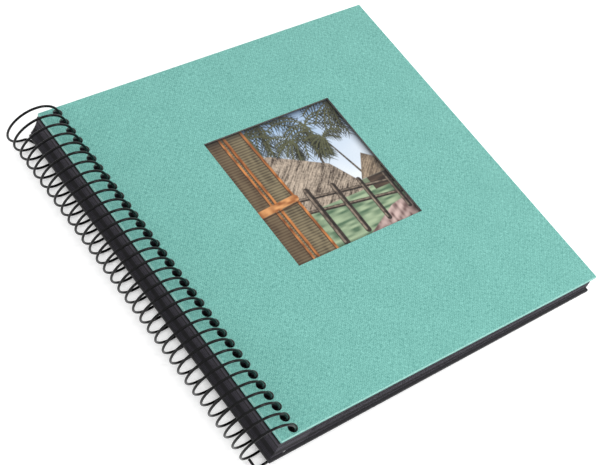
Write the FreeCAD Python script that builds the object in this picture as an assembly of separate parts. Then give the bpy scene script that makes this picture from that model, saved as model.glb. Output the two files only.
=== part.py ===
import FreeCAD, Part
import math
import os

# A square scrapbook album, closed and lying on its back cover.  Two cloth-covered boards and a block of
# card leaves turn on one plain wire coil along the spine.  All sizes are in millimetres.
#
# Row frame: +X runs from the spine to the fore-edge, +Y from the tail to the head, +Z up from the table.
# The origin is the middle of the closed album's footprint, on the table.

# ---- covers ----
COVER_WIDTH = 216.0          # spine edge to fore-edge
COVER_HEIGHT = 210.8         # tail to head
COVER_HOLE_MARGIN = 9.4      # spine edge to the middle of the hole row
BOARD = 1.2                  # grey board inside each cover
CLOTH = 0.25                 # covering cloth, on the face, round the edges and turned in
LINING = 0.2                 # paper pasted over the inside of each cover
TURN_IN = 14.0               # how far the cloth is folded in over the inside of the board
LINING_INSET = 0.8           # how far the lining stops short of the cover's edges
FILLER_GAP = 0.5             # room round the sheet that levels the space between the turn-ins

# ---- window in the front cover ----
WINDOW_WIDTH = 84.0          # across the album
WINDOW_HEIGHT = 84.0         # along the spine
WINDOW_TO_FORE_EDGE = 2.4    # from the cover's middle to the window's middle
WINDOW_TO_HEAD = 12.8        # the same along the spine
PRINT_OVERLAP = 4.5          # how far the picture runs on behind the board, past the window

# ---- leaves ----
LEAF_COUNT = 20
LEAF = 0.25                  # card
STRIP = 0.23                 # spacer strip glued under each leaf at the spine
STRIP_WIDTH = 20.0
LEAF_GAP = 0.03              # air between neighbouring sheets
LEAF_PAST_COVER = 0.6        # how far a leaf stands out past the covers at the spine
LEAF_INSIDE_COVER = 4.0      # how far it stops short of the front cover at the fore-edge
LEAF_INSIDE_ENDS = 0.6       # and at the head and the tail

# ---- coil and its holes ----
PITCH = 6.35                 # four holes to the inch
HOLE_CLEARANCE = 0.3125      # least room between the wire and the side of a hole
HOLE_WALL = 0.35             # least width of paper between the end holes and a sheet's head or tail
COIL_RADIUS = 13.9           # coil axis to the middle of the wire
WIRE = 1.3                   # coated wire, diameter
BACK_ANGLE = -47.82          # where the coil passes through the back cover, from +X, in degrees
COVER_SIDE_SLACK = -0.3      # front cover's holes past the wire, towards the fore-edge
LEAF_SIDE_SLACK = 0.5        # the same for the lowest leaf; the leaves between change evenly
BACK_END_SLACK = 0.9         # wire to the middle of the back cover's holes, along the spine
ARC_SPAN = 45.0              # the coil is a chain of arcs of about this many degrees
TAIL_END_ANGLE = -108.0      # where the last turn is bent in at the tail, from +X, counter to the clock
HEAD_END_ANGLE = -98.0       # and at the head
BEND_REACH = 1.75            # from the corner of each bent-in end to where its bend starts
BENT_LENGTH = 5.4            # corner to tip of each bent-in end
HEAD_END_SLANT = 30.0        # how far the head's tip leans to the fore-edge, in degrees

COVER = CLOTH + BOARD + CLOTH + LINING
LEAF_WIDTH = LEAF_PAST_COVER + COVER_WIDTH - LEAF_INSIDE_COVER
LEAF_HEIGHT = COVER_HEIGHT - 2 * LEAF_INSIDE_ENDS
LEAF_HOLE_MARGIN = LEAF_PAST_COVER + COVER_HOLE_MARGIN
END_SLACK = PITCH / 4        # a leaf turned by half a circle moves half a pitch along the wire
HOLE_DIAMETER = 2 * (END_SLACK + WIRE / 2 + HOLE_CLEARANCE)
HOLE_END_MARGIN = max(LINING_INSET, LEAF_INSIDE_ENDS) + HOLE_WALL + HOLE_DIAMETER / 2
HOLE_COUNT = int((COVER_HEIGHT - 2 * HOLE_END_MARGIN) / PITCH) + 1
AXIS_HEIGHT = COIL_RADIUS + WIRE / 2


class Seat:
    """Where one sheet lies: its own frame starts at its underside, at the middle of its hole row."""

    def __init__(self, x, z, tilt, angle):
        self.x, self.z, self.tilt, self.angle = x, z, tilt, angle
        self.y = 0.0

    def surface(self, height, x):
        """Height above the table, at x, of the sheet's surface that is height above its underside."""
        start_x = self.x + height * math.sin(self.tilt)
        start_z = self.z + height * math.cos(self.tilt)
        return start_z - (x - start_x) * math.tan(self.tilt)

    def place(self, shape):
        turn = FreeCAD.Rotation(FreeCAD.Vector(0, 1, 0), math.degrees(self.tilt))
        shape.Placement = FreeCAD.Placement(FreeCAD.Vector(self.x, self.y, self.z), turn) * shape.Placement
        return shape


def seat_on_coil(x, z, tilt, thickness, slack):
    """Seat a sheet whose underside passes through (x, z).  The coil's axis is at x = 0."""
    along = (math.cos(tilt), -math.sin(tilt))
    normal = (math.sin(tilt), math.cos(tilt))
    off_axis = x * normal[0] + (z - AXIS_HEIGHT) * normal[1] + thickness / 2
    reach = math.sqrt(COIL_RADIUS ** 2 - off_axis ** 2)
    wire_x = normal[0] * off_axis + along[0] * reach
    wire_z = normal[1] * off_axis + along[1] * reach
    seat_x = wire_x + along[0] * slack - normal[0] * thickness / 2
    seat_z = wire_z + along[1] * slack - normal[1] * thickness / 2 + AXIS_HEIGHT
    return Seat(seat_x, seat_z, tilt, math.atan2(wire_z, wire_x))


def seat_all():
    """The back cover, the leaves from the lowest up, and the front cover."""
    angle = math.radians(BACK_ANGLE)
    lift = AXIS_HEIGHT + COIL_RADIUS * math.sin(angle) - COVER / 2
    tilt = math.asin(lift / (COVER_WIDTH - COVER_HOLE_MARGIN))
    back = Seat(COIL_RADIUS * math.cos(angle) - COVER / 2 * math.sin(tilt), lift, tilt, angle)

    strip_x = COIL_RADIUS + LEAF_SIDE_SLACK + STRIP_WIDTH - LEAF_HOLE_MARGIN
    fore_edge_x = back.x + LEAF_WIDTH - LEAF_HOLE_MARGIN
    below, below_top = back, COVER
    leaves = []
    for number in range(LEAF_COUNT):
        at_strip = below.surface(below_top, strip_x) + LEAF_GAP + STRIP
        at_fore_edge = below.surface(below_top, fore_edge_x) + LEAF_GAP
        tilt = math.atan((at_strip - at_fore_edge) / (fore_edge_x - strip_x))
        share = number / max(LEAF_COUNT - 1, 1)
        slack = LEAF_SIDE_SLACK + share * (COVER_SIDE_SLACK - LEAF_SIDE_SLACK)
        underside_x = strip_x - STRIP * math.sin(tilt)
        underside_z = at_strip - STRIP * math.cos(tilt)
        below = seat_on_coil(underside_x, underside_z, tilt, STRIP + LEAF, slack)
        below_top = STRIP + LEAF
        leaves.append(below)

    resting = below.surface(below_top, strip_x) + LEAF_GAP
    front = seat_on_coil(strip_x, resting, tilt, COVER, COVER_SIDE_SLACK)

    # the sheets follow the wire along the spine as it climbs from the back cover to the front one
    for seat in [back] + leaves:
        seat.y = PITCH * (seat.angle - front.angle) / (2 * math.pi)
    back.y -= END_SLACK - BACK_END_SLACK
    return back, leaves, front


def rectangle(low_x, high_x, low_y, high_y, z):
    corners = [(low_x, low_y), (high_x, low_y), (high_x, high_y), (low_x, high_y), (low_x, low_y)]
    return Part.makePolygon([FreeCAD.Vector(x, y, z) for x, y in corners])


def hole_row(z):
    """The circles of the punched row, which is the same in every sheet, at height z."""
    middle = (HOLE_COUNT - 1) / 2
    centres = [FreeCAD.Vector(0, (number - middle) * PITCH, z) for number in range(HOLE_COUNT)]
    up = FreeCAD.Vector(0, 0, 1)
    return [Part.Wire(Part.makeCircle(HOLE_DIAMETER / 2, centre, up)) for centre in centres]


def slab(low_x, high_x, height, low_z, high_z, openings=(), punched=True):
    """A flat sheet in its own frame, with rectangular openings, and punched if it reaches the hole row."""
    outline = rectangle(low_x, high_x, -height / 2, height / 2, low_z)
    inner = [rectangle(*opening, low_z) for opening in openings]
    if punched:
        inner += hole_row(low_z)
    face = Part.makeFace([outline] + inner, "Part::FaceMakerBullseye")
    return face.extrude(FreeCAD.Vector(0, 0, high_z - low_z))


def window(grow):
    """The window's outline in the front cover's frame, larger by grow on every side."""
    middle_x = COVER_WIDTH / 2 + WINDOW_TO_FORE_EDGE - COVER_HOLE_MARGIN
    half_x, half_y = WINDOW_WIDTH / 2 + grow, WINDOW_HEIGHT / 2 + grow
    return middle_x - half_x, middle_x + half_x, WINDOW_TO_HEAD - half_y, WINDOW_TO_HEAD + half_y


def depths(outer, inner, face_up):
    """The low and high z of a layer between two depths from the cover's outer face."""
    return (COVER - inner, COVER - outer) if face_up else (outer, inner)


def cover_sheet(inset, outer, inner, face_up, openings=(), punched=True):
    """A layer of a cover that stops short of all its edges by inset."""
    low, high = depths(outer, inner, face_up)
    low_x, high_x = inset - COVER_HOLE_MARGIN, COVER_WIDTH - inset - COVER_HOLE_MARGIN
    return slab(low_x, high_x, COVER_HEIGHT - 2 * inset, low, high, openings, punched)


def cover_layers(name, skin, face_up, has_window):
    """The pieces of one cover, outside in: skin, board, filler and lining, with the picture behind a window
    that is cut through skin and board together."""
    board_back = CLOTH + BOARD
    skin_back = board_back + CLOTH
    seen = [window(0)] if has_window else []
    behind = [window(PRINT_OVERLAP + FILLER_GAP)] if has_window else []

    board = cover_sheet(CLOTH, CLOTH, board_back, face_up, seen)
    wrap = cover_sheet(0, 0, skin_back, face_up, seen)
    wrap = wrap.cut(cover_sheet(CLOTH, CLOTH, board_back, face_up, punched=False))
    wrap = wrap.cut(cover_sheet(TURN_IN, board_back, skin_back, face_up, punched=False))
    pieces = {name + skin: wrap.Solids[0], name + "board": board}
    pieces[name + "filler"] = cover_sheet(TURN_IN + FILLER_GAP, board_back, skin_back, face_up, behind, False)
    pieces[name + "lining"] = cover_sheet(LINING_INSET, skin_back, COVER, face_up)
    if has_window:
        low_x, high_x, low_y, high_y = window(PRINT_OVERLAP)
        low, high = depths(board_back, skin_back, face_up)
        picture = Part.makeBox(high_x - low_x, high_y - low_y, high - low)
        picture.translate(FreeCAD.Vector(low_x, low_y, low))
        pieces["window_picture"] = picture
    return pieces


def leaf():
    """One leaf in its own frame, lying on its strip."""
    return slab(-LEAF_HOLE_MARGIN, LEAF_WIDTH - LEAF_HOLE_MARGIN, LEAF_HEIGHT, STRIP, STRIP + LEAF)


def spacer_strip():
    """The strip glued along the leaf's spine edge, on its underside."""
    return slab(-LEAF_HOLE_MARGIN, STRIP_WIDTH - LEAF_HOLE_MARGIN, LEAF_HEIGHT, 0, STRIP)


def bend(before, corner, after, reach):
    """The arc that rounds a corner of the wire's path and starts and ends reach away from it."""
    start = corner + (before - corner).normalize() * reach
    end = corner + (after - corner).normalize() * reach
    inwards = (start + end) * 0.5 - corner
    depth = inwards.Length
    radius = reach * (end - start).Length / 2 / depth
    middle = corner + inwards * ((math.sqrt(radius ** 2 + reach ** 2) - radius) / depth)
    return Part.Arc(start, middle, end).toShape()


def coil(front_angle):
    """The wire: one turn through each hole, and its two ends bent in along the spine."""
    first_hole_y = -(HOLE_COUNT - 1) / 2 * PITCH

    def on_coil(angle, radius):
        turns = (angle - front_angle) / (2 * math.pi)
        y = first_hole_y - END_SLACK + PITCH * turns
        return FreeCAD.Vector(radius * math.cos(angle), y, AXIS_HEIGHT + radius * math.sin(angle))

    first = math.radians(TAIL_END_ANGLE)
    last = math.radians(HEAD_END_ANGLE) + 2 * math.pi * HOLE_COUNT
    count = round((last - first) / math.radians(ARC_SPAN))
    span = (last - first) / count
    corner_radius = COIL_RADIUS / math.cos(span / 2)
    corners = [on_coil(first + (number + 0.5) * span, corner_radius) for number in range(count)]
    half_edge = (corners[1] - corners[0]).Length / 2

    def end_points(turn_point, next_corner, lean):
        """The corner and the tip of a bent-in end that leans from the spine's direction."""
        outwards = (turn_point - next_corner).normalize()
        corner = turn_point + outwards * BEND_REACH
        return corner, corner + lean * BENT_LENGTH

    tail_corner, tail_tip = end_points(on_coil(first, COIL_RADIUS), corners[0], FreeCAD.Vector(0, 1, 0))
    slant = math.radians(HEAD_END_SLANT)
    head_lean = FreeCAD.Vector(math.sin(slant), -math.cos(slant), 0)
    head_corner, head_tip = end_points(on_coil(last, COIL_RADIUS), corners[-1], head_lean)

    points = [tail_tip, tail_corner] + corners + [head_corner, head_tip]
    reaches = [BEND_REACH] + [half_edge] * count + [BEND_REACH]
    edges = []
    reached = tail_tip
    for number, reach in enumerate(reaches, start=1):
        arc = bend(points[number - 1], points[number], points[number + 1], reach)
        if (arc.firstVertex().Point - reached).Length > 1e-3:
            edges.append(Part.makeLine(reached, arc.firstVertex().Point))
        edges.append(arc)
        reached = arc.lastVertex().Point
    edges.append(Part.makeLine(reached, head_tip))

    section = Part.Wire(Part.makeCircle(WIRE / 2, tail_tip, tail_corner - tail_tip))
    return Part.Wire(edges).makePipeShell([section], True, False)


def build():
    """Every node's shape, in the row frame."""
    back, leaves, front = seat_all()
    nodes = {}
    for name, shape in cover_layers("back_cover_", "wrap", False, False).items():
        nodes[name] = back.place(shape)
    for name, shape in cover_layers("front_cover_", "cloth", True, True).items():
        nodes[name] = front.place(shape)
    for number, seat in zip(range(LEAF_COUNT, 0, -1), leaves):
        nodes[f"leaf_{number:02d}"] = seat.place(leaf())
        nodes[f"spacer_strip_{number:02d}"] = seat.place(spacer_strip())
    nodes["binding_coil"] = coil(front.angle)

    # from the coil's axis to the middle of the closed album's footprint
    left = -AXIS_HEIGHT
    right = front.x + (COVER_WIDTH - COVER_HOLE_MARGIN) * math.cos(front.tilt) + COVER * math.sin(front.tilt)
    tail = back.y - COVER_HEIGHT / 2
    head = COVER_HEIGHT / 2
    for shape in nodes.values():
        shape.translate(FreeCAD.Vector(-(left + right) / 2, -(tail + head) / 2, 0))
    return nodes


os.makedirs("parts", exist_ok=True)
for node, shape in build().items():
    shape.exportStep(f"parts/{node}.step")
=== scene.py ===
# %% [markdown]
# # A cloth-covered scrapbook album on a wire coil
# The album lies closed on its back cover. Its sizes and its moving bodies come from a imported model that
# is loaded first and never changed. This lesson dresses that model: the two covers get a wrapped skin of
# book cloth, the window gets a printed picture, and every other piece gets a finish of its own.

import math

import bmesh
import bpy
import numpy as np
from mathutils import Matrix, Vector


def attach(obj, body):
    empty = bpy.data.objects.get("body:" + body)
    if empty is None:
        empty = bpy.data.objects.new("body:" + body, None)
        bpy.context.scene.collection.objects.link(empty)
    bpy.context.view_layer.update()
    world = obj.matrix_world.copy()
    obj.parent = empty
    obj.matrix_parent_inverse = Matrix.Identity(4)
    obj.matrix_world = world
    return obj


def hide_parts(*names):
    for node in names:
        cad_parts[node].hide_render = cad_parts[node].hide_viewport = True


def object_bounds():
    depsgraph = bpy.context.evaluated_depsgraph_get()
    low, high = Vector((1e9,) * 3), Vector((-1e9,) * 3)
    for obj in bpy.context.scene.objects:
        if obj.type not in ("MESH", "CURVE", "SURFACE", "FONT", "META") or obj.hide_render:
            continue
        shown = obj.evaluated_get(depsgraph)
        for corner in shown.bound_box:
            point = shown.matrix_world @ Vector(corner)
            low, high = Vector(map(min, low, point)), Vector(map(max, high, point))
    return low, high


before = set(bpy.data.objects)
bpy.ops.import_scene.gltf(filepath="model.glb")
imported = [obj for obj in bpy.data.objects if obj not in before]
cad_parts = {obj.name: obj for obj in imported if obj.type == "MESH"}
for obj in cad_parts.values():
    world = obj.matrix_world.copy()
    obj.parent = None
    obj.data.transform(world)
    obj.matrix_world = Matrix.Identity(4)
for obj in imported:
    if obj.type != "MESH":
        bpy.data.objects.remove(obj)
packed_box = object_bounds()

# %% [markdown]
# ## Sizes
# Blender works in metres, and a bookbinder thinks in millimetres. Sizes are written in millimetres and
# multiplied once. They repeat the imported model's sizes, so that the new skins sit exactly where the
# plain ones were.

# %% The covers' sizes
MM = 0.001
COVER_WIDTH = 216.0 * MM
COVER_HEIGHT = 210.8 * MM
CLOTH = 0.25 * MM
SKIN = 1.7 * MM                # a cover without its lining: cloth, board and turned-in cloth
TURN_IN = 14.0 * MM
HOLE_ROW = 9.4 * MM            # from the spine edge
HOLE_DIAMETER = 5.1 * MM
PITCH = 6.35 * MM
HOLE_COUNT = 33
LEAF_COUNT = 20
WINDOW = 84.0 * MM
WINDOW_MIDDLE = (COVER_WIDTH / 2 + 2.4 * MM, 12.8 * MM)
CLOSE = 0.01 * MM              # points nearer than this are at the same height or edge
print("hole row:", round((HOLE_COUNT - 1) * PITCH / MM, 1), "mm")

# %% [markdown]
# ## Where a sheet lies
# Each sheet of the closed album leans a little, because the block is thicker at the spine. A sheet is
# easiest to model flat, with its spine edge at x = 0, and to turn into place at the end. Its lean and
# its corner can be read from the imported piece: the lowest x is the lower spine corner, and the lowest z
# is the lower fore-edge corner.

# %% Read a sheet's lean and corner
def resting_place(node):
    """The turn and move that take a flat-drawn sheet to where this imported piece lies."""
    points = np.array([point.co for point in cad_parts[node].data.vertices])
    spine, fore_edge = points[points[:, 0].argmin()], points[points[:, 2].argmin()]
    lean = math.atan2(spine[2] - fore_edge[2], fore_edge[0] - spine[0])
    middle = (points[:, 1].min() + points[:, 1].max()) / 2
    return Matrix.Translation((spine[0], middle, spine[2])) @ Matrix.Rotation(lean, 4, "Y")


front_place = resting_place("front_cover_cloth")
back_place = resting_place("back_cover_wrap")
print("front cover leans", round(math.degrees(front_place.to_euler().y), 2), "degrees")

# %% [markdown]
# ## The camera
# The album is seen from above its near spine corner, with the camera rolled so that the spine runs down
# to the right. The view is stated in the front cover's own directions: how far round, how high, and how
# far the camera rolls.

# %% Place the camera
ROUND, RISE, ROLL = math.radians(-57.2), math.radians(48.4), math.radians(25.8)
DISTANCE = 805 * MM
LENS = 96.7
cover_top = front_place @ Matrix.Translation((0, -COVER_HEIGHT / 2, SKIN))
aim = Vector((81.4, 92.6, 0)) * MM
backwards = Vector((math.sin(ROUND) * math.cos(RISE), -math.cos(ROUND) * math.cos(RISE), math.sin(RISE)))
level = (-backwards).cross(Vector((0, 0, 1))).normalized()
upright = level.cross(-backwards)
right = level * math.cos(ROLL) + upright * math.sin(ROLL)
upwards = upright * math.cos(ROLL) - level * math.sin(ROLL)
turn = Matrix((right, upwards, backwards)).transposed().to_4x4()

bpy.ops.object.select_all(action="DESELECT")
bpy.ops.object.camera_add()
camera = bpy.context.object
camera.matrix_world = cover_top @ Matrix.Translation(aim + backwards * DISTANCE) @ turn
camera.data.lens = LENS
camera.data.clip_start, camera.data.clip_end = 0.01, 20
bpy.context.scene.camera = camera
print("camera at", [round(c, 3) for c in camera.matrix_world.translation])

# %% [markdown]
# ## Colours and nodes
# Colours are picked as sRGB hex values, as in any paint program, and Blender's nodes want linear ones,
# so one function does that turn. A second function adds one node with its settings and links, which
# keeps each material below short enough to read as a list.

# %% Helpers for materials
def colour(hex_value):
    """Linear RGBA from an sRGB hex value."""
    parts = [int(hex_value[place:place + 2], 16) / 255 for place in (1, 3, 5)]
    return [p / 12.92 if p <= 0.04045 else ((p + 0.055) / 1.055) ** 2.4 for p in parts] + [1.0]


def new_material(name, base, roughness, **sockets):
    """A material whose shader starts from a plain colour; the other settings are its own sockets."""
    made = bpy.data.materials.new(name)
    made.use_nodes = True
    shader = made.node_tree.nodes["Principled BSDF"]
    shader.inputs["Base Color"].default_value = colour(base)
    shader.inputs["Roughness"].default_value = roughness
    for socket, value in sockets.items():
        shader.inputs[socket.replace("_", " ")].default_value = value
    return made


def add_node(material, kind, inputs=None, **settings):
    """Adds one node. An input takes a plain value, or (node, output) to link it."""
    tree = material.node_tree
    made = tree.nodes.new(kind)
    for setting, value in settings.items():
        setattr(made, setting, value)
    for key, value in (inputs or {}).items():
        if isinstance(value, tuple) and isinstance(value[0], bpy.types.Node):
            tree.links.new(value[0].outputs[value[1]], made.inputs[key])
        else:
            made.inputs[key].default_value = value
    return made


def link_shader(material, socket, node, output):
    shader = material.node_tree.nodes["Principled BSDF"]
    material.node_tree.links.new(node.outputs[output], shader.inputs[socket])


# %% [markdown]
# ## Book cloth
# Book cloth is a plain-woven rayon or linen cloth, dyed, then backed with paper so that glue can't come
# through. Its threads are uneven, so the colour breaks up into short light and dark flecks along both
# directions of the weave, and the surface is quite matt. The real threads are about 0.35 mm apart. That
# is finer than the picture can show, so they are drawn 0.7 mm apart here. Thread directions follow the
# cover. Adding the height to both lets the threads run on down the cover's edges instead of stopping.
# The rounded edges are painted paler, as rubbed wear and as a painted highlight; an attribute marks them.

# %% Make the two book cloths
THREAD = 0.7 * MM
DRIFT_SHARE = 0.16             # how much the slow drift of the dye counts beside the flecks
WEAVE_SHARE = 0.2              # and how much the threads' own light and dark
MIDDLE_TONE = 1.08             # two noises and the drift add up to this on average
HALF_RANGE = 0.33              # how far from it the colour reaches its darkest or lightest


def book_cloth(name, dark, light, edge, fleck):
    """Woven cloth between two colours, and a third on the edges: rubbed wear and painted highlight; fleck
    is how uneven it is.
    """
    cloth = new_material(name, light, 0.82, Sheen_Weight=0.12, Sheen_Roughness=0.5)
    place = add_node(cloth, "ShaderNodeTexCoord")
    axes = add_node(cloth, "ShaderNodeSeparateXYZ", {0: (place, "Object")})
    across = add_node(cloth, "ShaderNodeMath", {0: (axes, "X"), 1: (axes, "Z")}, operation="ADD")
    along = add_node(cloth, "ShaderNodeMath", {0: (axes, "Y"), 1: (axes, "Z")}, operation="ADD")
    threads = add_node(cloth, "ShaderNodeCombineXYZ", {0: (across, 0), 1: (along, 0)})

    # the height of the weave: each thread is a ridge, and neighbours take turns to be on top
    ridges = []
    for run in (across, along):
        phase = add_node(cloth, "ShaderNodeMath", {
            0: (run, 0), 1: 2 * math.pi / THREAD}, operation="MULTIPLY")
        ridges.append(add_node(cloth, "ShaderNodeMath", {0: (phase, 0)}, operation="SINE"))
    checker = add_node(cloth, "ShaderNodeTexChecker", {
        "Vector": (threads, 0), "Color1": (1, 1, 1, 1), "Color2": (0, 0, 0, 1), "Scale": 1 / THREAD})
    weave = add_node(cloth, "ShaderNodeMix", {0: (checker, "Fac"), 2: (ridges[0], 0), 3: (ridges[1], 0)})

    # uneven threads: long thin flecks one way and the other, and a slow drift of the dye
    slubs = []
    for length, width, seed in ((2.0, 0.36, 0.0), (0.36, 1.6, 31.0)):
        stretched = add_node(cloth, "ShaderNodeMapping", {
            "Vector": (threads, 0), "Location": (seed, seed, 0),
            "Scale": (1 / (length * MM), 1 / (width * MM), 1)})
        slubs.append(add_node(cloth, "ShaderNodeTexNoise", {
            "Vector": (stretched, 0), "Scale": 1.0, "Detail": 1.0, "Roughness": 0.5}))
    both = add_node(cloth, "ShaderNodeMath", {0: (slubs[0], 0), 1: (slubs[1], 0)}, operation="ADD")
    drift = add_node(cloth, "ShaderNodeTexNoise", {
        "Vector": (threads, 0), "Scale": 1 / (14 * MM), "Detail": 2.0, "Roughness": 0.5})
    drifting = add_node(cloth, "ShaderNodeMath", {
        0: (drift, 0), 1: DRIFT_SHARE, 2: (both, 0)}, operation="MULTIPLY_ADD")
    reach = HALF_RANGE / fleck
    uneven = add_node(cloth, "ShaderNodeMapRange", {
        "Value": (drifting, 0), "From Min": MIDDLE_TONE - reach, "From Max": MIDDLE_TONE + reach})
    shade = add_node(cloth, "ShaderNodeMath", {
        0: (weave, 0), 1: WEAVE_SHARE, 2: (uneven, 0)}, operation="MULTIPLY_ADD")
    dye = add_node(cloth, "ShaderNodeMix", {
        "Factor": (shade, 0), 6: colour(dark), 7: colour(light)}, data_type="RGBA")
    # the rounded edges are painted paler: partly rubbed wear, partly a painted highlight
    edge_wear_and_highlight = add_node(cloth, "ShaderNodeAttribute", attribute_name="edge_wear_and_highlight")
    wear_and_highlight_share = add_node(cloth, "ShaderNodeMath", {0: (edge_wear_and_highlight, "Fac"), 1: (slubs[0], 0)}, operation="MULTIPLY")
    worn_and_highlit = add_node(cloth, "ShaderNodeMix", {
        "Factor": (wear_and_highlight_share, 0), 6: (dye, 2), 7: colour(edge)}, data_type="RGBA")
    link_shader(cloth, "Base Color", worn_and_highlit, 2)

    relief = add_node(cloth, "ShaderNodeMath", {
        0: (weave, 0), 1: 0.8, 2: (both, 0)}, operation="MULTIPLY_ADD")
    bump = add_node(cloth, "ShaderNodeBump", {
        "Height": (relief, 0), "Strength": 0.4, "Distance": 0.05 * MM})
    link_shader(cloth, "Normal", bump, 0)
    return cloth


# the third colour is the paler edge: rubbed wear and a painted highlight
turquoise_cloth = book_cloth("woven_book_cloth_turquoise", "#4B8E85", "#86C9BE", "#B0DCD4", 1.0)
black_cloth = book_cloth("woven_book_cloth_black", "#141416", "#26262A", "#4A4A50", 0.9)
print("book cloths:", turquoise_cloth.name, black_cloth.name)

# %% [markdown]
# ## Board, card and paper
# Binder's board is pressed waste paper: grey-brown, with flecks of fibre, and rougher where it is cut.
# The leaves are dyed-through black card. A guillotined edge scatters light, so it looks a shade paler
# and more purple than the face. The piece's own normal tells the edges from the faces, and it turns
# with the leaf.

# %% Make the board, the card and the papers
def fibrous(name, dark, light, edge, roughness, fibre):
    """Pressed or rolled paper: fibres as long as fibre (mm), and cut edges of their own colour."""
    paper = new_material(name, light, roughness)
    place = add_node(paper, "ShaderNodeTexCoord")
    stretched = add_node(paper, "ShaderNodeMapping", {
        "Vector": (place, "Object"), "Scale": (1 / (fibre * MM), 4 / (fibre * MM), 4 / (fibre * MM))})
    fibres = add_node(paper, "ShaderNodeTexNoise", {
        "Vector": (stretched, 0), "Scale": 1.0, "Detail": 4.0, "Roughness": 0.65})
    spread = add_node(paper, "ShaderNodeMapRange", {"Value": (fibres, 0), "From Min": 0.3, "From Max": 0.7})
    face = add_node(paper, "ShaderNodeMix", {
        "Factor": (spread, 0), 6: colour(dark), 7: colour(light)}, data_type="RGBA")
    facing = add_node(paper, "ShaderNodeSeparateXYZ", {0: (place, "Normal")})
    upwards_part = add_node(paper, "ShaderNodeMath", {0: (facing, "Z")}, operation="ABSOLUTE")
    on_face = add_node(paper, "ShaderNodeMapRange", {
        "Value": (upwards_part, 0), "From Min": 0.45, "From Max": 0.75})
    cut = add_node(paper, "ShaderNodeMix", {
        "Factor": (on_face, 0), 6: colour(edge), 7: (face, 2)}, data_type="RGBA")
    link_shader(paper, "Base Color", cut, 2)
    bump = add_node(paper, "ShaderNodeBump", {
        "Height": (fibres, 0), "Strength": 0.35, "Distance": 0.05 * MM})
    link_shader(paper, "Normal", bump, 0)
    return paper


grey_board = fibrous("pressed_grey_board", "#5E5C58", "#7A7772", "#6A6866", 0.9, 1.6)
leaf_cards = {
    "pale": fibrous("dyed_black_card_pale_cut", "#131215", "#1E1D21", "#4B4752", 0.78, 0.9),
    "middle": fibrous("dyed_black_card_middle_cut", "#151417", "#201F23", "#383540", 0.78, 1.1),
    # a cut edge painted dark: painted shade lines along the leaf block
    "painted_shade": fibrous("black_card_painted_shade_cut", "#161518", "#222025", "#0E0E11", 0.78, 1.3),
}
strip_card = fibrous("dyed_black_strip_card", "#161518", "#222126", "#2C2932", 0.8, 1.0)
lining = fibrous("smooth_black_lining_paper", "#18171A", "#232226", "#343238", 0.6, 2.0)
filler = fibrous("thin_levelling_paper", "#8C877E", "#A39E95", "#A39E95", 0.9, 1.5)
print("papers:", len(leaf_cards) + 4)

# %% [markdown]
# ## Coated wire
# The coil is steel wire with a smooth black nylon coat. It could be plain black, but a coat has a gloss of
# its own: almost no colour, low roughness and a weak reflection, a little uneven along the wire.

# %% Make the coated wire
wire = new_material("nylon_coated_steel_wire_black", "#030304", 0.16, Specular_IOR_Level=0.2)
place = add_node(wire, "ShaderNodeTexCoord")
# the coat is drawn on hot and keeps faint waves a few millimetres long
waves = add_node(wire, "ShaderNodeTexNoise", {
    "Vector": (place, "Object"), "Scale": 1 / (2.5 * MM), "Detail": 2.0})
gloss = add_node(wire, "ShaderNodeMapRange", {
    "Value": (waves, 0), "From Min": 0.3, "From Max": 0.7, "To Min": 0.11, "To Max": 0.19})
link_shader(wire, "Roughness", gloss, 0)
bump = add_node(wire, "ShaderNodeBump", {"Height": (waves, 0), "Strength": 0.12, "Distance": 0.05 * MM})
link_shader(wire, "Normal", bump, 0)
print("wire:", wire.name)

# %% [markdown]
# ## Dress the imported pieces
# The leaves, their spacer strips, the boards, the linings and the coil have the right shape already, so
# they only take a material. On a real block a few sheets stand back from the rest, and their cut edges
# are in shade and read as dark lines. These leaves all end level, so that shade is painted: a few
# leaves and their strips take a card whose cut edge is painted dark, as painted shade.

# %% Give each imported piece its finish
def dress(node, material):
    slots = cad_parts[node].data.materials
    slots.clear()
    slots.append(material)


# these leaves and their strips get the cut edge painted dark, as painted shade
PAINTED_SHADE_LEAVES = (1, 6, 7, 14, 15, 16, 17)
for number in range(1, LEAF_COUNT + 1):
    cut = "painted_shade" if number in PAINTED_SHADE_LEAVES else "pale" if number % 3 else "middle"
    dress(f"leaf_{number:02d}", leaf_cards[cut])
    dress(f"spacer_strip_{number:02d}", leaf_cards["painted_shade"] if number in PAINTED_SHADE_LEAVES else strip_card)
for cover in ("front_cover", "back_cover"):
    dress(f"{cover}_board", grey_board)
    dress(f"{cover}_filler", filler)
    dress(f"{cover}_lining", lining)
dress("binding_coil", wire)
print("dressed the leaves, strips, boards, linings and coil")


# %% [markdown]
# ## Picking edges and faces in code
# By hand you would click the edges to round. In code they are picked by where their points are. This
# helper works in edit mode: it clears the selection and selects every edge or face that passes a test.

# %% A helper that selects by place
def choose(piece, kind, test):
    """Selects the edges or faces (kind) of the piece whose points pass the test."""
    bpy.ops.mesh.select_mode(type="FACE" if kind == "faces" else "EDGE")
    bpy.ops.mesh.select_all(action="DESELECT")
    edited = bmesh.from_edit_mesh(piece.data)
    found = [item for item in getattr(edited, kind) if test([point.co for point in item.verts])]
    for item in found:
        item.select_set(True)
    bmesh.update_edit_mesh(piece.data)
    return len(found)


def start_with(adder, name, **settings):
    """Adds a primitive on its own, names it and puts its place in its mesh."""
    bpy.ops.object.select_all(action="DESELECT")
    adder(**settings)
    piece = bpy.context.object
    piece.name = piece.data.name = name
    bpy.ops.object.transform_apply(location=True, rotation=True, scale=True)
    return piece


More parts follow.
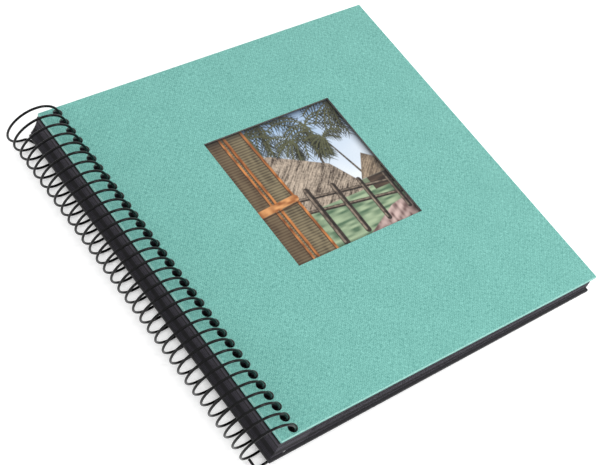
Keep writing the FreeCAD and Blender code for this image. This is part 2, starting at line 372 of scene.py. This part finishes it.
def put(piece, place):
    """Moves a finished piece to its place and writes that into its mesh."""
    bpy.ops.object.select_all(action="DESELECT")
    piece.select_set(True)
    bpy.context.view_layer.objects.active = piece
    piece.matrix_world = place
    bpy.ops.object.transform_apply(location=True, rotation=True, scale=True)


# %% [markdown]
# ## The cover skins
# A case cover is a board wrapped in cloth: the cloth runs over the face, round all four edges, and is
# turned in over the inside. It could be a box with a texture, but then the edges would be knife-sharp
# and the punched holes would show no layers. So the skin is a real shell. A box loses the middle of its
# underside, its edges are rounded as cloth rounds a board, and a wall of one cloth thickness is added
# inwards. The window is cut through cloth and board together, so the board's grey edge shows there.

# %% Shape one skin, flat
EDGE_ROUND = 0.55 * MM


def shared_sides(points):
    """How many outer sides of the cover all these points lie on together."""
    sides = [(0, 0), (0, COVER_WIDTH), (1, -COVER_HEIGHT / 2), (1, COVER_HEIGHT / 2), (2, 0), (2, SKIN)]
    return sum(all(abs(point[axis] - value) < CLOSE for point in points) for axis, value in sides)


def in_window(points):
    return all(abs(point[axis] - WINDOW_MIDDLE[axis]) < WINDOW / 2 + CLOSE
               for point in points for axis in (0, 1))


def on_face(points):
    return all(point.z > SKIN - CLOSE for point in points)


def skin(name, has_window):
    """A wrapped cover, outer face up, with its spine edge at x = 0 and its underside at z = 0."""
    piece = start_with(
        bpy.ops.mesh.primitive_cube_add, name, size=1,
        location=(COVER_WIDTH / 2, 0, SKIN / 2), scale=(COVER_WIDTH, COVER_HEIGHT, SKIN))
    bpy.ops.object.mode_set(mode="EDIT")
    choose(piece, "faces", lambda points: all(point.z < CLOSE for point in points))
    bpy.ops.mesh.inset(thickness=TURN_IN, depth=0)
    bpy.ops.mesh.delete(type="FACE")
    if has_window:
        for axis in (0, 1):
            for side in (-1, 1):
                cut = Vector((0, 0, SKIN))
                cut[axis] = WINDOW_MIDDLE[axis] + side * WINDOW / 2
                direction = Vector((axis == 0, axis == 1, 0))
                choose(piece, "faces", on_face)
                bpy.ops.mesh.bisect(plane_co=cut, plane_no=direction)
        choose(piece, "faces", lambda points: on_face(points) and in_window(points))
        bpy.ops.mesh.delete(type="FACE")
    rounded = choose(piece, "edges", lambda points: shared_sides(points) == 2)
    bpy.ops.mesh.bevel(offset=EDGE_ROUND, segments=4, affect="EDGES", clamp_overlap=False)
    bpy.ops.object.mode_set(mode="OBJECT")
    bpy.ops.object.modifier_add(type="SOLIDIFY")
    wall = piece.modifiers[-1]
    wall.thickness, wall.offset, wall.use_even_offset = CLOTH, -1, True
    bpy.ops.object.modifier_apply(modifier=wall.name)
    print(name, "rounded edges:", rounded, "faces:", len(piece.data.polygons))
    return piece


front_skin = skin("front_cover_book_cloth", True)
back_skin = skin("back_cover_book_cloth", False)

# %% [markdown]
# ## Punch the covers
# The binder's punch takes out a whole row at once. Here one pin is modelled, repeated by an Array
# modifier at the coil's pitch, and taken away from each skin by a Boolean. A punched edge is pressed
# in slightly where the pin enters, so the rims get a small bevel. The points of the rounded edges are
# then marked for the cloth's material, which paints them paler: rubbed wear and a painted highlight.

# %% Make the punch and use it
def punch(piece):
    pins = start_with(
        bpy.ops.mesh.primitive_cylinder_add, "punch", vertices=40, radius=HOLE_DIAMETER / 2,
        depth=3 * SKIN, location=(HOLE_ROW, -(HOLE_COUNT - 1) / 2 * PITCH, SKIN / 2))
    bpy.ops.object.modifier_add(type="ARRAY")
    row = pins.modifiers[-1]
    row.count, row.use_relative_offset, row.use_constant_offset = HOLE_COUNT, False, True
    row.constant_offset_displace = (0, PITCH, 0)
    bpy.ops.object.modifier_apply(modifier=row.name)

    bpy.ops.object.select_all(action="DESELECT")
    piece.select_set(True)
    bpy.context.view_layer.objects.active = piece
    bpy.ops.object.modifier_add(type="BOOLEAN")
    bite = piece.modifiers[-1]
    bite.operation, bite.solver, bite.object = "DIFFERENCE", "EXACT", pins
    bpy.ops.object.modifier_apply(modifier=bite.name)
    bpy.data.objects.remove(pins)

    def on_rim(points):
        """Both ends of the edge lie on the rim of one hole, on the outer face."""
        nearest = [round(point.y / PITCH) * PITCH for point in points]
        return on_face(points) and all(
            abs(math.hypot(point.x - HOLE_ROW, point.y - y) - HOLE_DIAMETER / 2) < CLOSE
            for point, y in zip(points, nearest))

    bpy.ops.object.mode_set(mode="EDIT")
    rims = choose(piece, "edges", on_rim)
    bpy.ops.mesh.bevel(offset=0.07 * MM, segments=2, affect="EDGES", clamp_overlap=False)
    bpy.ops.object.mode_set(mode="OBJECT")
    bpy.ops.object.shade_smooth_by_angle(angle=math.radians(35))
    # mark the rounded edges, which the cloth paints paler: rubbed wear and a painted highlight
    heights = np.array([point.co.z for point in piece.data.vertices])
    rounding = (heights > SKIN - EDGE_ROUND + CLOSE) & (heights < SKIN - CLOSE)
    edge_wear_and_highlight = piece.data.attributes.new("edge_wear_and_highlight", "FLOAT", "POINT")
    edge_wear_and_highlight.data.foreach_set("value", rounding.astype(np.float32))
    triangles = sum(len(face.vertices) - 2 for face in piece.data.polygons)
    print(piece.name, "rim edges:", rims, "triangles:", triangles)


punch(front_skin)
punch(back_skin)

# %% [markdown]
# ## The window's edge
# Where the knife cuts the cloth at the window, its edge is soft and a little pressed down. A bevel on
# the four top edges of the opening gives that thin line of light round the picture.

# %% Soften the window's edge
def on_window_rim(points):
    """The edge runs along one side of the window, on the outer face."""
    return on_face(points) and in_window(points) and any(
        all(abs(abs(point[axis] - WINDOW_MIDDLE[axis]) - WINDOW / 2) < CLOSE for point in points)
        for axis in (0, 1))


bpy.ops.object.select_all(action="DESELECT")
front_skin.select_set(True)
bpy.context.view_layer.objects.active = front_skin
bpy.ops.object.mode_set(mode="EDIT")
window_edges = choose(front_skin, "edges", on_window_rim)
bpy.ops.mesh.bevel(offset=0.14 * MM, segments=2, affect="EDGES", clamp_overlap=False)
bpy.ops.object.mode_set(mode="OBJECT")
print("window edges softened:", window_edges)

# %% [markdown]
# ## Put the skins in place
# Both skins were drawn flat with the outer face up. The front one only needs its cover's lean. The back
# one lies face down, so it is first turned over about its spine edge's direction and lifted by its own
# thickness.

# %% Put the skins on the covers
front_skin.data.materials.append(turquoise_cloth)
back_skin.data.materials.append(black_cloth)
put(front_skin, front_place)
put(back_skin, back_place @ Matrix.Translation((0, 0, SKIN)) @ Matrix.Rotation(math.pi, 4, "X"))
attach(front_skin, "front_cover")
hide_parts("front_cover_cloth")
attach(back_skin, "back_cover_and_coil")
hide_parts("back_cover_wrap")
print("front skin box:", [round(c / MM, 1) for c in front_skin.bound_box[0]])

# %% [markdown]
# ## The print behind the window
# The window shows a small colour print. Its scene is laid out like the real album's print: a lagoon with
# palms, a thatched roof, a louvred shutter and a pole railing. It is painted in code onto the corners of
# a fine grid, as a colour attribute, because no image file is used. The grid is fine enough to give
# about three dots to the millimetre. The paint is laid in layers from the back to the front, as with
# poster paint. Places in the picture are stated as shares of the window: u to the fore-edge, v to the
# head.

# %% Set out the print's grid
PRINT_OVERLAP = 4.5 * MM
PRINT_THICKNESS = CLOTH
DOTS = 288
low, high = -PRINT_OVERLAP / WINDOW, 1 + PRINT_OVERLAP / WINDOW
steps = np.linspace(low, high, DOTS + 1)
u, v = np.meshgrid(steps, steps)
dots = np.zeros(u.shape + (3,))
print("dots in the print:", dots.shape[0] * dots.shape[1])


# %% [markdown]
# A few brushes are enough for the whole print: soft random patches, a patch with straight sides, and a
# straight stroke. Each one gives how much of every dot it covers, and lay paints there.

# %% Brushes
def noise(cells_u, cells_v, seed, lean=0.0):
    """Smooth random patches from 0 to 1, so many cells across the window each way; lean slants them."""
    table = np.random.default_rng(seed).random((int(cells_v * 2.6) + 3, int(cells_u * 1.3) + 3))
    a, b = (u - low) * cells_u, (v - low + lean * (u - low) + max(0, -lean) * 1.2) * cells_v
    column, row = a.astype(int), b.astype(int)
    fa, fb = a - column, b - row
    fa, fb = fa * fa * (3 - 2 * fa), fb * fb * (3 - 2 * fb)
    top = table[row, column] * (1 - fa) + table[row, column + 1] * fa
    bottom = table[row + 1, column] * (1 - fa) + table[row + 1, column + 1] * fa
    return top * (1 - fb) + bottom * fb


def lay(cover, dark, light=None, mix=0.5):
    """Paints a mix of two colours where cover is above 0."""
    first, second = np.array(colour(dark)[:3]), np.array(colour(light or dark)[:3])
    share = np.clip(mix, 0, 1) * np.ones(u.shape)
    paint = first + (second - first) * share[..., None]
    dots[:] = dots + (paint - dots) * np.clip(cover, 0, 1)[..., None]


SOFT = 0.004


def area(corners):
    """Cover of a convex patch whose corners go round counter to the clock."""
    inside = np.full(u.shape, 1.0)
    for (u0, v0), (u1, v1) in zip(corners, corners[1:] + corners[:1]):
        length = math.hypot(u1 - u0, v1 - v0)
        distance = ((u1 - u0) * (v - v0) - (v1 - v0) * (u - u0)) / length
        inside = np.minimum(inside, distance / SOFT + 0.5)
    return np.clip(inside, 0, 1)


def stroke(start, end, width, tip=None):
    """Cover of a straight brush stroke that changes from width to tip."""
    du, dv = end[0] - start[0], end[1] - start[1]
    share = np.clip(((u - start[0]) * du + (v - start[1]) * dv) / (du * du + dv * dv), 0, 1)
    distance = np.hypot(u - start[0] - share * du, v - start[1] - share * dv)
    half = (width + ((width if tip is None else tip) - width) * share) / 2
    return np.clip((half - distance) / SOFT + 0.5, 0, 1)


# %% Sky, lagoon and path
fine, coarse = noise(110, 110, 1), noise(9, 9, 2)
lay(np.ones(u.shape), "#E4EAEF", "#93B3D6", (v - 0.45) * 1.6 + 0.25 * coarse)
lay(area([(-0.1, 0.30), (1.1, 0.30), (1.1, 0.37), (-0.1, 0.37)]), "#4B5A46", "#7F8B72", noise(40, 8, 3))
lay(area([(-0.1, -0.1), (1.1, -0.1), (1.1, 0.31), (-0.1, 0.31)]), "#4F6B52", "#A3B694",
    noise(14, 60, 4) * 1.3 - 0.15)
lay(area([(0.36, -0.1), (1.1, -0.1), (1.1, 0.17), (0.86, 0.13)]), "#6A514E", "#CDB3AC",
    noise(60, 26, 5) * 0.8 + 0.25 * np.sin(u * 60 - v * 90) + 0.1)
print("painted the background")

# %% [markdown]
# A palm leaf is a rib with leaflets on both sides. It could be one soft blob, but at this size the gaps
# between the leaflets are what makes it read as a palm, so each leaflet is its own stroke.

# %% Palms
DROOP = 0.085                  # how far a frond turns downwards at each step


def palm(crown, reach, fronds, seed, dark, light):
    """A crown of drooping fronds; each has a rib in a few steps and leaflets on both sides."""
    chance = np.random.default_rng(seed)
    for frond in range(fronds):
        heading = 2 * math.pi * (frond + chance.random() * 0.6) / fronds
        length = reach * (0.7 + 0.4 * chance.random())
        point, leaf_tone = np.array(crown), chance.random()
        for step in range(9):
            hanging = -math.pi / 2 if math.cos(heading) > 0 else 1.5 * math.pi
            heading += (hanging - heading) * DROOP
            ahead = point + length / 9 * np.array([math.cos(heading), math.sin(heading)])
            for side in (-1, 1):
                hang = heading + side * (0.75 + 0.35 * chance.random())
                size = length * 0.3 * math.sin(math.pi * (step + 2) / 12)
                tip = ahead + size * np.array([math.cos(hang), math.sin(hang) - 0.45])
                lay(stroke(ahead, tip, 0.009, 0.001), dark, light, leaf_tone * 0.6 + (fine - 0.5) * 0.9)
            lay(stroke(point, ahead, 0.009), dark, light, 1.0)
            point = ahead


def trunk(foot, top, width):
    lay(stroke(foot, top, width, width * 0.6), "#241F1B", "#74675A", noise(50, 90, 7))


trunk((0.60, 0.34), (0.70, 0.86), 0.022)
trunk((0.86, 0.34), (0.77, 0.74), 0.018)
for crown, reach, seed in (((0.42, 1.0), 0.30, 11), ((0.29, 0.93), 0.22, 15), ((0.72, 0.88), 0.27, 12),
                           ((0.99, 0.98), 0.26, 13), ((0.56, 0.80), 0.17, 16), ((0.77, 0.75), 0.15, 14)):
    palm(crown, reach, 13, seed, "#040503", "#585A40")
print("painted the palms")

# %% [markdown]
# Roofs, railing and shutter are straight-sided, so patches and strokes make them. What comes later lies
# in front of what came before.

# %% Thatched roofs
straw = noise(22, 150, 21, -0.8) * 0.8 + noise(120, 120, 24) * 0.5 + noise(7, 14, 25, -0.8) * 0.4 - 0.4
lay(area([(0.20, 0.30), (0.82, 0.30), (0.68, 0.56), (0.34, 0.76), (0.20, 0.80)]),
    "#40352E", "#C6B5A2", straw)
lay(area([(0.80, 0.37), (1.08, 0.37), (1.08, 0.42), (0.93, 0.55)]), "#3B3029", "#A8957F", straw)
lay(area([(0.84, 0.27), (1.08, 0.27), (1.08, 0.37), (0.84, 0.37)]), "#191412", "#5E4C3F", noise(12, 70, 23))
print("painted the roofs")

# %% Pole railing
def pole(start, end, width):
    lay(stroke(start, end, width), "#0F0C0B", "#3C322C", noise(60, 60, 31))
    shift = width * 0.2
    lay(stroke((start[0] - shift, start[1] + shift), (end[0] - shift, end[1] + shift), width * 0.35) * 0.75,
        "#4E4239", "#AF9D8B", noise(70, 70, 32))


RAIL_POSTS = 4
for height in (0.30, 0.20):
    pole((0.30, height + 0.10), (1.08, height - 0.02), 0.026)
for post in range(RAIL_POSTS):
    along = 0.40 + 0.19 * post
    pole((along, 0.02 + 0.02 * post), (along, 0.44 - 0.03 * post), 0.046 - 0.005 * post)
print("painted the railing")

# %% Louvred shutter
slats = 0.5 + 0.5 * np.sin(v * 2 * math.pi * 52)
lay(area([(-0.1, -0.1), (0.33, -0.1), (0.29, 1.1), (-0.1, 1.1)]), "#352C21", "#8C7F63",
    slats * 0.6 + noise(40, 12, 41) * 0.45)
lay(area([(-0.1, -0.1), (0.12, -0.1), (0.10, 1.1), (-0.1, 1.1)]) * 0.45, "#4B2E1D")
for foot, top, width in ((0.135, 0.115, 0.016), (0.170, 0.150, 0.020), (0.320, 0.280, 0.018)):
    lay(stroke((foot, -0.1), (top, 1.1), width), "#6B3413", "#D2884A", noise(60, 30, 42))
    lay(stroke((foot - 0.012, -0.1), (top - 0.012, 1.1), 0.006), "#3A2113")
lay(stroke((-0.1, 0.40), (0.30, 0.43), 0.050), "#85451A", "#E0A268", noise(30, 60, 43))
lay(stroke((-0.1, 0.365), (0.30, 0.395), 0.008), "#41240F")
print("painted the shutter")

# %% The print's painted shade along the window's edge
# painted shade: the print darkens towards the fore-edge and the head, where the window's edge shades it
WINDOW_SHADE_BAND = 0.07
for towards in (u, v):
    lay(np.clip((towards - 1 + WINDOW_SHADE_BAND) / WINDOW_SHADE_BAND, 0, 1) ** 1.5 * 0.85, "#1E2022")
print("darkened the border")

# %% [markdown]
# The print itself is a thin sheet: a grid for its face, with its outer edges pulled down by one paper
# thickness and closed underneath. The painted dots go onto the grid's points in order of their place.

# %% Make the print
print_piece = start_with(
    bpy.ops.mesh.primitive_grid_add, "window_print", x_subdivisions=DOTS, y_subdivisions=DOTS,
    size=WINDOW + 2 * PRINT_OVERLAP, location=(*WINDOW_MIDDLE, PRINT_THICKNESS))
points = np.array([point.co for point in print_piece.data.vertices])
share = (points[:, :2] - np.array(WINDOW_MIDDLE)) / WINDOW + 0.5
column, row = np.rint((share - low) / (high - low) * DOTS).astype(int).T
painted = np.ones((len(points), 4), np.float32)
painted[:, :3] = dots[row, column]
attribute = print_piece.data.color_attributes.new("printed_colour", "FLOAT_COLOR", "POINT")
attribute.data.foreach_set("color", painted.ravel())

half = WINDOW / 2 + PRINT_OVERLAP
bpy.ops.object.mode_set(mode="EDIT")
choose(print_piece, "edges", lambda points: any(
    all(abs(abs(point[axis] - WINDOW_MIDDLE[axis]) - half) < CLOSE for point in points) for axis in (0, 1)))
bpy.ops.mesh.extrude_region_move(TRANSFORM_OT_translate={"value": (0, 0, -PRINT_THICKNESS)})
bpy.ops.mesh.edge_face_add()
bpy.ops.mesh.select_all(action="SELECT")
bpy.ops.mesh.normals_make_consistent(inside=False)
bpy.ops.object.mode_set(mode="OBJECT")
print("print triangles:", sum(len(face.vertices) - 2 for face in print_piece.data.polygons))

# %% [markdown]
# ## Paper for the print
# The print is on satin resin-coated paper: the dye sits under a thin clear layer, so the colour comes
# from the attribute and the shine is even and soft.

# %% Finish the print and put it behind the window
satin = new_material("satin_photo_paper", "#C8C8C8", 0.42, IOR=1.48, Specular_IOR_Level=0.35)
dye = add_node(satin, "ShaderNodeVertexColor", layer_name="printed_colour")
link_shader(satin, "Base Color", dye, "Color")
place = add_node(satin, "ShaderNodeTexCoord")
grain = add_node(satin, "ShaderNodeTexNoise", {
    "Vector": (place, "Object"), "Scale": 1 / (0.8 * MM), "Detail": 1.0})
bump = add_node(satin, "ShaderNodeBump", {"Height": (grain, 0), "Strength": 0.1, "Distance": 0.02 * MM})
link_shader(satin, "Normal", bump, 0)
print_piece.data.materials.append(satin)
put(print_piece, front_place)
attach(print_piece, "front_cover")
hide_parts("window_picture")
print("print lies at", [round(c / MM, 1) for c in print_piece.bound_box[0]])

# %% [markdown]
# ## Floor and light
# The album stands on a plain white floor in a white tent, which gives the cloth its even light. A large
# panel overhead adds a little shape, a narrow strip past the tail corner puts a short bright line on each
# turn of the wire, and a weak panel fills from the tail side. The floor glows a little, as a lit sweep
# does, so that the shadows under the album stay pale.

# %% Floor
floor = start_with(bpy.ops.mesh.primitive_grid_add, "floor", x_subdivisions=8, y_subdivisions=8, size=6,
                   location=(0, 0, packed_box[0].z))
floor.data.materials.append(new_material(
    "matt_white_paper_sweep", "#FEFEFE", 0.9, Emission_Color=(1, 1, 1, 1), Emission_Strength=0.3))

# %% Light
def panel(name, place, width, height, watts):
    """A soft panel that faces the album."""
    bpy.ops.object.select_all(action="DESELECT")
    bpy.ops.object.light_add(type="AREA", location=place)
    light = bpy.context.object
    light.name = light.data.name = name
    light.data.shape = "RECTANGLE"
    light.data.size, light.data.size_y, light.data.energy = width, height, watts
    light.rotation_euler = (-Vector(place)).to_track_quat("-Z", "Y").to_euler()
    return light


panel("overhead_panel", (-0.3, 0.5, 1.6), 1.8, 1.8, 5)
panel("strip_panel", (0.71, -0.68, 0.87), 0.6, 0.12, 5)
panel("fill_panel", (0.3, -1.4, 0.8), 1.2, 0.8, 2.5)
room = bpy.data.worlds.new("white_tent")
room.use_nodes = True
room.node_tree.nodes["Background"].inputs["Color"].default_value = (1, 1, 1, 1)
room.node_tree.nodes["Background"].inputs["Strength"].default_value = 0.85
bpy.context.scene.world = room
bpy.context.scene.view_settings.view_transform = "Standard"

# %% [markdown]
# ## The size
# The dressed album must fill the same box as the imported one. Only the imported box is printed.

# %% Print the imported box
print("packed:", [[round(c / MM, 1) for c in corner] for corner in packed_box])
